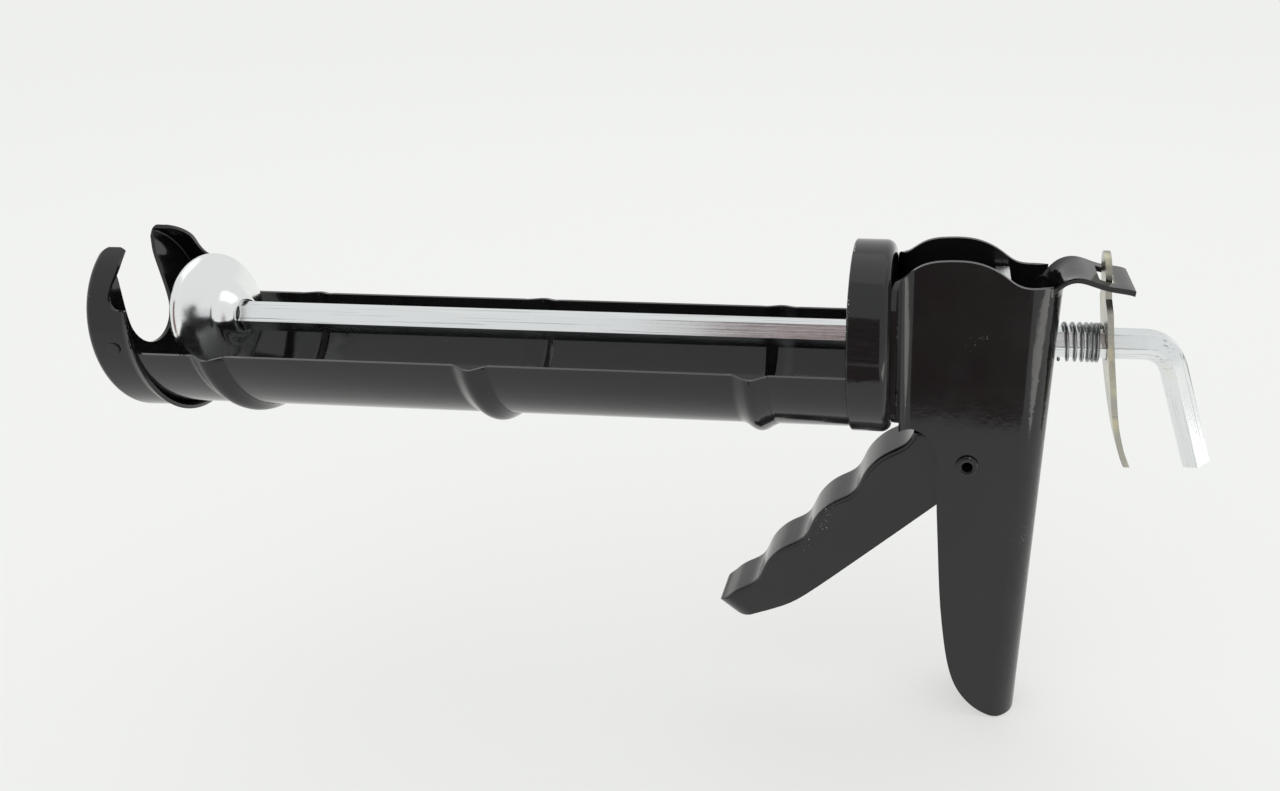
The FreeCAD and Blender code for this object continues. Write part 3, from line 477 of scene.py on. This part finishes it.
def enamel(name, chip_cover, smear_amount, gloss):
    """Gloss black paint; gloss is the roughness of a clean spot."""
    material, tree, shader = new_material(name)
    place = own_place(tree)
    marks = add_group(tree, marks_group, place, Amount=smear_amount)
    peel = add_group(tree, peel_group, place)
    chips = add_group(tree, chips_group, place, Cover=chip_cover)
    paint = add_mix(tree, marks.outputs["Smears"], BLACK, DUSTY_BLACK)
    tree.links.new(add_mix(tree, chips.outputs["Mask"], paint, BARE_STEEL), shader.inputs["Base Color"])
    tree.links.new(chips.outputs["Mask"], shader.inputs["Metallic"])
    dull = add_math(tree, "ADD", add_math(tree, "MULTIPLY", marks.outputs["Smears"], SMEAR_DULLS), gloss)
    scratched = add_math(tree, "MULTIPLY", marks.outputs["Scratches"], SCRATCH_DULLS)
    rough = add_math(tree, "ADD", dull, scratched)
    tree.links.new(add_math(tree, "ADD", rough, add_math(
        tree, "MULTIPLY", chips.outputs["Mask"], CHIP_DULLS)), shader.inputs["Roughness"])
    add_bump(tree, shader, peel.outputs["Height"], PEEL_DEPTH)
    return material


enamel_face = enamel("black_enamel", 0.0, 0.5, 0.09)
enamel_edge = enamel("black_enamel_edge", 0.31, 0.3, 0.13)
enamel_grip = enamel("black_enamel_grip", 0.0, 0.8, 0.11)
enamel_rivet = enamel("black_rivet", 0.12, 0.6, 0.16)
print("enamels made")


# %% [markdown]
# ### Zinc finishes
# The rod, the piston, the lever and the small parts are all zinc plated, but they don't look
# alike: drawn bar has lines along it, the piston is polished by the press, and the flat stampings
# are duller and more yellow. The grey streaks along the drawn lines of the bar and the lever are
# painted reflections, and the lever's darker tint is painted shade.

# %% Zinc finishes
# Painted reflection: a grey mixed into the colour along the drawn lines, in place of dim mirrored streaks.
PAINTED_REFLECTION_GREY = (0.16, 0.16, 0.15)
PAINTED_REFLECTION_FROM = 0.56
PAINTED_REFLECTION_TO = 0.68
GRAIN_DULLS = 0.10
HAZE_DULLS = 0.12
ZINC_DEPTH = 0.00004


def zinc(name, cool, straw, straw_share, rough, mottle_depth, drawn_depth, painted_reflection=0.0):
    """Zinc plate; cool and straw are its two tints, and the last argument is how strongly grey reflection
    streaks are painted along its drawn lines.
    """
    material, tree, shader = new_material(name)
    place = own_place(tree)
    bloom = add_group(tree, bloom_group, place, Cool=(*cool, 1.0), Straw=(*straw, 1.0),
                      Straw_Share=straw_share)
    marks = add_group(tree, marks_group, place, Amount=0.6)
    drawn = add_group(tree, drawn_group, place)
    # Painted reflection: grey streaks along the drawn lines, put into the colour.
    dark = add_range(tree, drawn.outputs["Height"], PAINTED_REFLECTION_FROM, PAINTED_REFLECTION_TO)
    painted_reflection_streaks = add_math(tree, "MULTIPLY", dark, painted_reflection)
    tree.links.new(add_mix(tree, painted_reflection_streaks, bloom.outputs["Color"], PAINTED_REFLECTION_GREY), shader.inputs["Base Color"])
    shader.inputs["Metallic"].default_value = 1.0
    grain = add_math(tree, "MULTIPLY", bloom.outputs["Mottle"], GRAIN_DULLS)
    hazy = add_math(tree, "MULTIPLY", marks.outputs["Smears"], HAZE_DULLS)
    tree.links.new(
        add_math(tree, "ADD", add_math(tree, "ADD", grain, hazy), rough), shader.inputs["Roughness"])
    height = add_math(tree, "ADD", add_math(tree, "MULTIPLY", bloom.outputs["Mottle"], mottle_depth),
                      add_math(tree, "MULTIPLY", drawn.outputs["Height"], drawn_depth))
    add_bump(tree, shader, height, ZINC_DEPTH)
    return material


zinc_bar = zinc("zinc_bar", (0.84, 0.86, 0.87), (0.86, 0.84, 0.76), 0.25, 0.12, 0.2, 0.8, 0.65)
zinc_sheet = zinc("zinc_sheet", (0.90, 0.91, 0.91), (0.93, 0.89, 0.78), 0.30, 0.10, 0.3, 0.0)
zinc_plate = zinc("zinc_plate", (0.74, 0.75, 0.74), (0.80, 0.77, 0.62), 0.45, 0.22, 0.8, 0.2)
# Painted shade: the lever's zinc is a darker copy of the plate; its straw tint is its own.
zinc_lever_painted_shade = zinc("zinc_plate_lever_painted_shade", (0.40, 0.39, 0.35), (0.62, 0.57, 0.38), 0.55, 0.20, 0.8, 0.2, 0.3)
spring_steel = zinc("spring_steel", (0.36, 0.37, 0.38), (0.50, 0.46, 0.36), 0.35, 0.24, 0.4, 0.3)
print("zinc finishes made")

# %% [markdown]
# ## Edges of the CAD parts
# Pressed sheet never has a knife edge. The CAD mesh is loose triangles, so a Weld modifier joins
# them first, a Bevel modifier then rounds every sharp edge, and the rounding gets the edge version
# of the paint, where the steel shows through. The mesh itself isn't touched.


# %% Round the edges and dress the CAD parts
WELD_DISTANCE = 0.000002
SHARP_ANGLE = math.radians(38.0)
EDGE_MATERIAL = 1
FACE_WEIGHT = 60


def dress(name, face_material, edge_material, round_mm, segments=2):
    """Gives a CAD node its finish and small rounded edges."""
    piece = nodes[name]
    piece.data.materials.clear()
    piece.data.materials.append(face_material)
    piece.data.materials.append(edge_material)
    weld = piece.modifiers.new("weld", "WELD")
    weld.merge_threshold = WELD_DISTANCE
    bevel = piece.modifiers.new("round", "BEVEL")
    bevel.width = round_mm / 1000.0
    bevel.segments = segments
    bevel.limit_method = "ANGLE"
    bevel.angle_limit = SHARP_ANGLE
    bevel.use_clamp_overlap = True
    bevel.harden_normals = False
    bevel.material = EDGE_MATERIAL
    smooth = piece.modifiers.new("even", "WEIGHTED_NORMAL")
    smooth.keep_sharp = False
    smooth.weight = FACE_WEIGHT
    for polygon in piece.data.polygons:
        polygon.use_smooth = True


dress("barrel_trough", enamel_face, enamel_edge, 0.30)
dress("front_cup", enamel_face, enamel_edge, 0.28)
dress("cup_rivets", enamel_rivet, enamel_rivet, 0.15)
dress("rear_cup", enamel_face, enamel_edge, 0.30)
dress("flange_rivets", enamel_rivet, enamel_rivet, 0.15)
dress("handle_frame", enamel_face, enamel_edge, 0.35)
dress("pivot_rivet", enamel_rivet, enamel_rivet, 0.15)
dress("trigger", enamel_grip, enamel_edge, 0.35)
dress("pivot_spacer", zinc_plate, zinc_plate, 0.15)
dress("trigger_push_pin", zinc_plate, zinc_plate, 0.15)
dress("grip_plate_front", zinc_plate, zinc_plate, 0.20)
dress("grip_plate_rear", zinc_plate, zinc_plate, 0.20)
dress("drive_spring_seat", zinc_plate, zinc_plate, 0.12)
dress("push_rod", zinc_bar, zinc_bar, 0.75, 4)
dress("piston_disc", zinc_sheet, zinc_sheet, 0.15)
dress("piston_washer", zinc_plate, zinc_plate, 0.15)
dress("piston_screw", zinc_plate, zinc_plate, 0.12)
dress("release_lever", zinc_lever_painted_shade, zinc_plate, 0.25)
print("CAD nodes dressed")

# %% [markdown]
# ## Springs
# A rigid spring would stick through the plates when the trigger is squeezed. Both springs are
# built anew, but nothing here makes them flatten. Each is a small circle carried round the rod by a
# Screw modifier. The turns are then spaced: the drive spring's lie closer at both ends, as
# on a new compression spring, and the release spring's lie closer towards the lever.


# %% Spring builder
WIRE_SIDES = 14
RINGS_PER_TURN = 30


def coil_spring(name, wire_mm, coil_mm, turns, start_mm, end_mm, start_deg, crowd):
    """A compression spring along X; crowd maps 0..1 along the wire to 0..1 along the length."""
    bpy.ops.object.select_all(action="DESELECT")
    bpy.ops.mesh.primitive_circle_add(vertices=WIRE_SIDES, radius=wire_mm / 1000.0, fill_type="NOTHING")
    spring = bpy.context.active_object
    spring.name = name
    bpy.ops.object.mode_set(mode="EDIT")
    bpy.ops.mesh.select_all(action="SELECT")
    bpy.ops.transform.rotate(value=math.pi / 2, orient_axis="X", center_override=(0.0, 0.0, 0.0))
    bpy.ops.transform.translate(value=(0.0, 0.0, coil_mm / 1000.0))
    bpy.ops.transform.rotate(value=math.radians(start_deg), orient_axis="X",
                             center_override=(0.0, 0.0, 0.0))
    bpy.ops.object.mode_set(mode="OBJECT")
    screw = spring.modifiers.new("wind", "SCREW")
    screw.axis = "X"
    screw.angle = 2 * math.pi * turns
    screw.screw_offset = 1.0
    screw.steps = int(RINGS_PER_TURN * turns)
    screw.render_steps = screw.steps
    screw.use_merge_vertices = False
    bpy.ops.object.modifier_apply(modifier=screw.name)
    bpy.ops.object.mode_set(mode="EDIT")
    bpy.ops.mesh.select_all(action="SELECT")
    bpy.ops.mesh.fill_holes(sides=0)
    bpy.ops.mesh.select_all(action="SELECT")
    bpy.ops.mesh.normals_make_consistent(inside=False)
    bpy.ops.object.mode_set(mode="OBJECT")
    length = (end_mm - start_mm - 2 * wire_mm) / 1000.0
    last_ring = len(spring.data.vertices) // WIRE_SIDES - 1
    widest = 0.0
    for vertex in spring.data.vertices:
        # one metre of offset was wound in, ring by ring; the rest of x is the wire's own radius
        share = (vertex.index // WIRE_SIDES) / last_ring
        own = vertex.co.x - share
        widest = max(widest, abs(own))
        vertex.co.x = (start_mm + wire_mm) / 1000.0 + length * crowd(share) + own
    print(name, "wire radius along x:", round(1000 * widest, 3), "mm, wanted", wire_mm)
    bpy.ops.object.shade_smooth()
    return spring


print("spring builder ready")

# %% [markdown]
# Each spring is wound to fill the length of its CAD part and takes that part's place on the frame,
# and the CAD part is hidden. The real drive spring shortens by as much as the grip plates travel
# when the trigger is pulled; this one keeps its length.


# %% The two springs
def spring_piece(name, node, wire_mm, coil_mm, turns, start_deg, crowd):
    """A wound spring in the space of its CAD node, which it replaces on the frame."""
    low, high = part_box(node)
    coil = coil_spring(name, wire_mm, coil_mm, turns, 1000 * low.x, 1000 * high.x, start_deg, crowd)
    coil.data.materials.append(spring_steel)
    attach(coil, "frame")
    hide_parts(node)
    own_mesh(coil)
    return coil


release_coil = spring_piece("release_coil", "release_spring", 0.46, 5.5, 6.6, 200.0,
                            lambda share: share + 0.12 * math.sin(math.pi * share))
drive_coil = spring_piece("drive_coil", "drive_spring", 0.75, 7.2, 6.0, 90.0,
                          lambda share: share - 0.045 * math.sin(2 * math.pi * share))
for coil in (release_coil, drive_coil):
    corners = [Vector(c) for c in coil.bound_box]
    print(coil.name, "x from", round(1000 * min(c.x for c in corners), 2), "to",
          round(1000 * max(c.x for c in corners), 2), "mm, triangles", 2 * len(coil.data.polygons))
